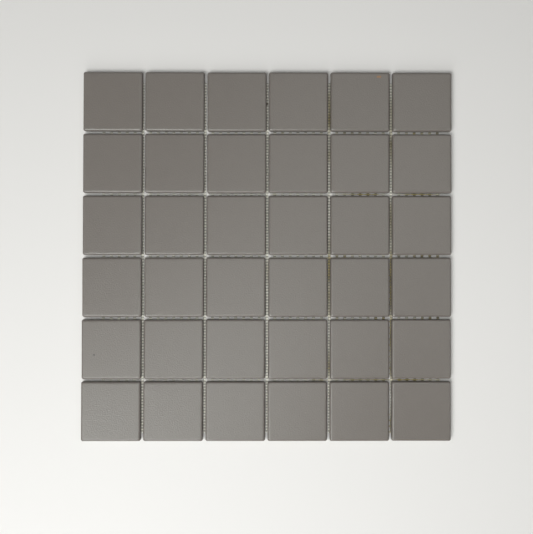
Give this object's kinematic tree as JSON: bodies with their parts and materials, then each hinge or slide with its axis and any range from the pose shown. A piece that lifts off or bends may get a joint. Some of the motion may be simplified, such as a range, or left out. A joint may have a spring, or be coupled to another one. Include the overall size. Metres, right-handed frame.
{
  "type": "mosaic tile sheet",
  "caption": "Flat sheet of square unglazed porcelain mosaic tiles, evenly spaced and glued face up on an open glass yarn net, for tiling floors and walls.",
  "frame": {"origin": "middle of the sheet at the underside of the net, on the surface it lies on", "axes": "+Z out of the tile faces, +X along the rows to the right and +Y up the columns as seen on the faces"},
  "size_m": [0.2993, 0.2982, 0.006],
  "materials": {
    "porcelain": "matte unglazed, fine grain",
    "glass_yarn": "resin-coated glass yarn"
  },
  "bodies": {
    "root": {"net_lengthwise_yarns": "glass_yarn", "net_crosswise_yarns": "glass_yarn", "tile_r1_c1": "porcelain", "tile_r1_c2": "porcelain", "tile_r1_c3": "porcelain", "tile_r1_c4": "porcelain", "tile_r1_c5": "porcelain", "tile_r1_c6": "porcelain", "tile_r2_c1": "porcelain", "tile_r2_c2": "porcelain", "tile_r2_c3": "porcelain", "tile_r2_c4": "porcelain", "tile_r2_c5": "porcelain", "tile_r2_c6": "porcelain", "tile_r3_c1": "porcelain", "tile_r3_c2": "porcelain", "tile_r3_c3": "porcelain", "tile_r3_c4": "porcelain", "tile_r3_c5": "porcelain", "tile_r3_c6": "porcelain", "tile_r4_c1": "porcelain", "tile_r4_c2": "porcelain", "tile_r4_c3": "porcelain", "tile_r4_c4": "porcelain", "tile_r4_c5": "porcelain", "tile_r4_c6": "porcelain", "tile_r5_c1": "porcelain", "tile_r5_c2": "porcelain", "tile_r5_c3": "porcelain", "tile_r5_c4": "porcelain", "tile_r5_c5": "porcelain", "tile_r5_c6": "porcelain", "tile_r6_c1": "porcelain", "tile_r6_c2": "porcelain", "tile_r6_c3": "porcelain", "tile_r6_c4": "porcelain", "tile_r6_c5": "porcelain", "tile_r6_c6": "porcelain"}
  },
  "joints": []
}
